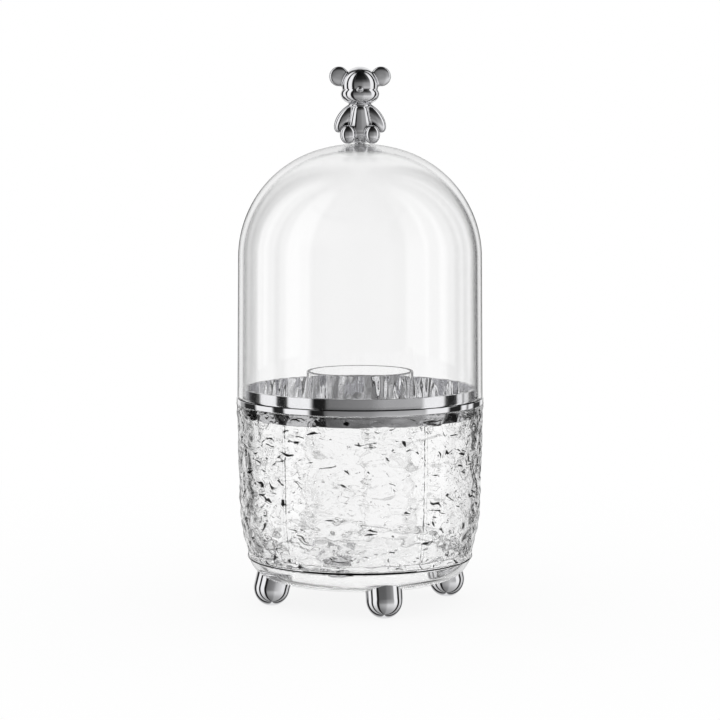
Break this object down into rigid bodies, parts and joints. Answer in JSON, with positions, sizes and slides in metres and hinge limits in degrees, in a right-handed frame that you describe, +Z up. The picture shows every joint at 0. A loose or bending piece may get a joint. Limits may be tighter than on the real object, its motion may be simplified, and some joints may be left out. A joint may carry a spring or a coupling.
{
  "type": "lidded makeup organizer",
  "caption": "Round clear organizer on splayed feet, with a plated trim ring, compartments round a lift-out cup, and a clear dome lid lifted by a seated bear.",
  "frame": {"origin": "on the table, under the centre of the body", "axes": "+Z up along the body's axis; the bear on the dome faces -Y; +X to its viewer's right"},
  "size_m": [0.122, 0.122, 0.2644],
  "materials": {
    "rippled_clear_plastic": "clear, moulded with a water-ripple relief outside",
    "bowl_clear_plastic": "clear, smooth",
    "insert_clear_plastic": "clear, smooth",
    "cup_clear_plastic": "clear, smooth",
    "dome_clear_plastic": "clear, smooth",
    "plated_ring": "bright plated",
    "plated_feet": "bright plated",
    "plated_bear": "bright plated"
  },
  "bodies": {
    "base": {"body_shell": "rippled_clear_plastic", "base_bowl": "bowl_clear_plastic", "foot_front": "plated_feet", "foot_right": "plated_feet", "foot_back": "plated_feet", "foot_left": "plated_feet", "trim_ring": "plated_ring", "vane_insert": "insert_clear_plastic"},
    "lid": {"dome_cover": "dome_clear_plastic", "bear_figure": "plated_bear"},
    "cup": {"centre_cup": "cup_clear_plastic"}
  },
  "joints": [
    {"name": "lid_lift", "type": "slide", "parent": "base", "child": "lid", "axis": [0, 0, 1], "range_m": [0, 0.15]},
    {"name": "cup_lift", "type": "slide", "parent": "base", "child": "cup", "axis": [0, 0, 1], "range_m": [0, 0.088]}
  ]
}
